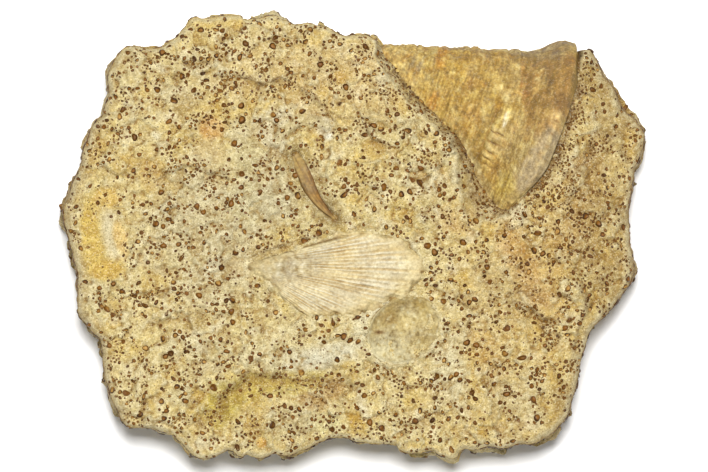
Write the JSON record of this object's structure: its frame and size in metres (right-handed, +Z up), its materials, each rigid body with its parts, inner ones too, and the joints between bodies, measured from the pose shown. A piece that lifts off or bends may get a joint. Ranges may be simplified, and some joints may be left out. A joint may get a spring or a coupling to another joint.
{
  "type": "fossil sea snail",
  "caption": "Broken block of grainy limestone with a cone-shaped fossil sea snail on its side and smaller shells let into the upper face.",
  "frame": {"origin": "centre of the bounding box in plan, on the flat underside of the block", "axes": "+X along the block's length towards the snail's open end, +Z up from the underside to the face with the shells"},
  "size_m": [0.1462, 0.1115, 0.0453],
  "materials": {
    "limestone": "rough, pale cream, full of small dark brown iron grains",
    "snail_stone": "worn ochre and brown fossil shell",
    "ribbed_stone": "pale cream fossil shell with fine ribs",
    "oval_stone": "smooth grey-beige fossil shell",
    "curved_stone": "smooth brown fossil shell"
  },
  "bodies": {
    "root": {"matrix": "limestone", "snail_shell": "snail_stone", "ribbed_shell": "ribbed_stone", "oval_shell": "oval_stone", "curved_shell": "curved_stone"}
  },
  "joints": []
}
